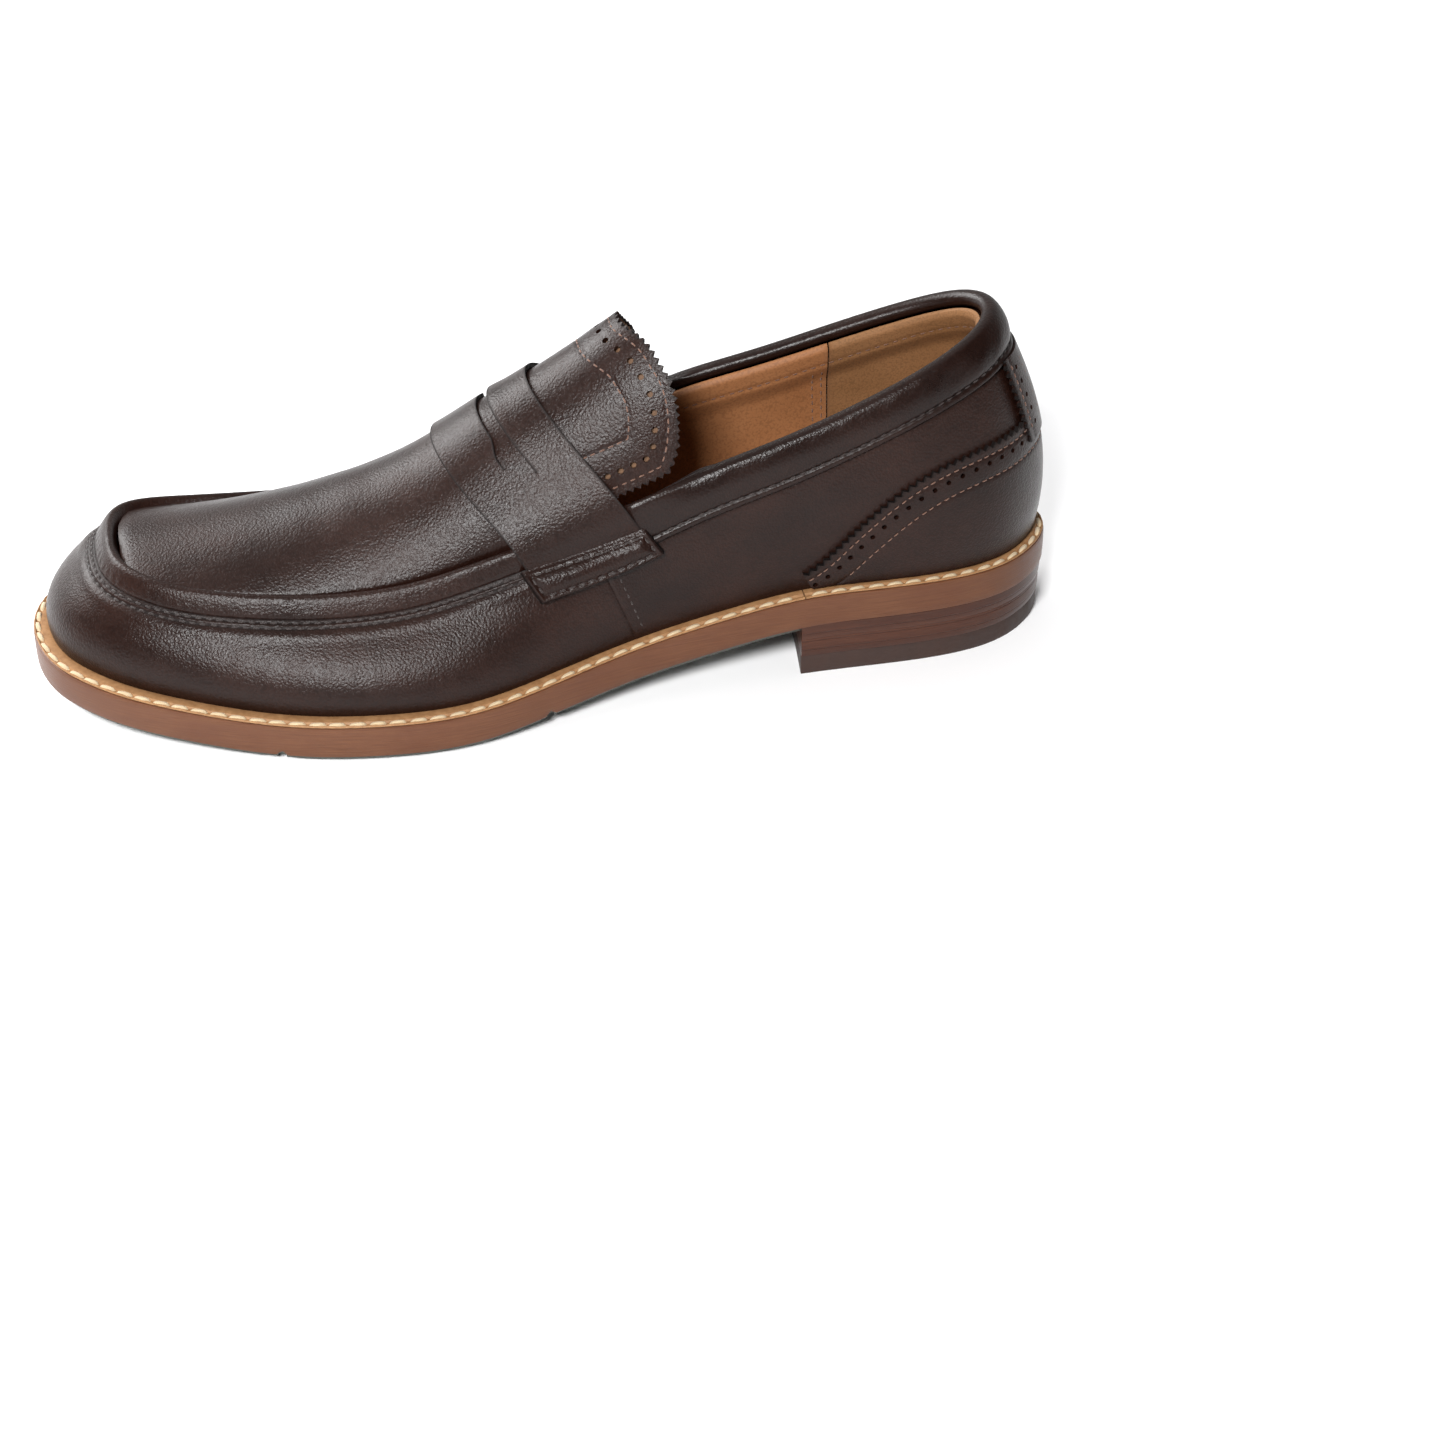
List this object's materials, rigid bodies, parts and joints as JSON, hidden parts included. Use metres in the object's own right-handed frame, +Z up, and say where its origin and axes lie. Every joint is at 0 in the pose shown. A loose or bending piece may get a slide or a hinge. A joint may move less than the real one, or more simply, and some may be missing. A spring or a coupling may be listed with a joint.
{
  "type": "penny loafer shoe",
  "caption": "Left slip-on loafer with a raised apron seam, slotted saddle strap, lifting tongue flap, padded collar, welted sole and stacked heel.",
  "frame": {"origin": "centre of the shoe's bounding box in plan, at the level the sole stands on", "axes": "+X from toe to heel, +Y from the outer to the inner side of the left foot, +Z up"},
  "size_m": [0.3, 0.1108, 0.1035],
  "materials": {
    "upper_leather": "satin, fine pebbled grain",
    "tan_lining_leather": "matte",
    "sock_leather": "satin",
    "sole_leather": "burnished edge",
    "stacked_heel_leather": "burnished edge",
    "sole_rubber": "matte",
    "heel_rubber": "matte",
    "welt_leather": "satin",
    "dark_thread": "waxed thread",
    "tan_thread": "waxed thread",
    "cream_thread": "waxed thread",
    "nail_steel": "bright",
    "shank_steel": "spring steel",
    "cork": "granulated cork",
    "insole_board": "fibre board",
    "stiffener_board": "resin-stiffened felt",
    "foam": "soft open-cell foam",
    "cord": "twisted cord"
  },
  "bodies": {
    "shoe": {"apron_plug": "upper_leather", "apron_ridge": "upper_leather", "apron_thread_1": "dark_thread", "apron_thread_2": "dark_thread", "backstay": "upper_leather", "collar_binding": "upper_leather", "collar_foam": "foam", "collar_thread": "dark_thread", "cork_filler": "cork", "counter_thread": "tan_thread", "heel_counter": "upper_leather", "heel_grip_lining": "tan_lining_leather", "heel_lift_lower": "stacked_heel_leather", "heel_lift_upper": "stacked_heel_leather", "heel_nail_1": "nail_steel", "heel_nail_2": "nail_steel", "heel_nail_3": "nail_steel", "heel_nail_4": "nail_steel", "heel_nail_5": "nail_steel", "heel_pad": "foam", "heel_rand": "welt_leather", "heel_stiffener": "stiffener_board", "heel_top_lift": "heel_rubber", "insole_board": "insole_board", "midsole": "sole_leather", "outsole": "sole_rubber", "plug_lining": "tan_lining_leather", "quarter_lateral": "upper_leather", "quarter_lining_lateral": "tan_lining_leather", "quarter_lining_medial": "tan_lining_leather", "quarter_medial": "upper_leather", "ridge_cord": "cord", "saddle_strap": "upper_leather", "shank": "shank_steel", "sock_lining": "sock_leather", "strap_end_lateral": "upper_leather", "strap_end_medial": "upper_leather", "toe_puff": "stiffener_board", "vamp": "upper_leather", "vamp_lining": "tan_lining_leather", "welt": "welt_leather", "welt_thread": "cream_thread"},
    "tongue_flap": {"tongue": "upper_leather", "tongue_lining": "tan_lining_leather", "tongue_thread": "dark_thread"}
  },
  "joints": [
    {"name": "tongue_lift", "type": "hinge", "parent": "shoe", "child": "tongue_flap", "pos_m": [-0.0031, 0, 0.0874], "axis": [0, -1, 0], "range_deg": [0, 25], "stiffness_Nm_per_rad": 0.5}
  ]
}
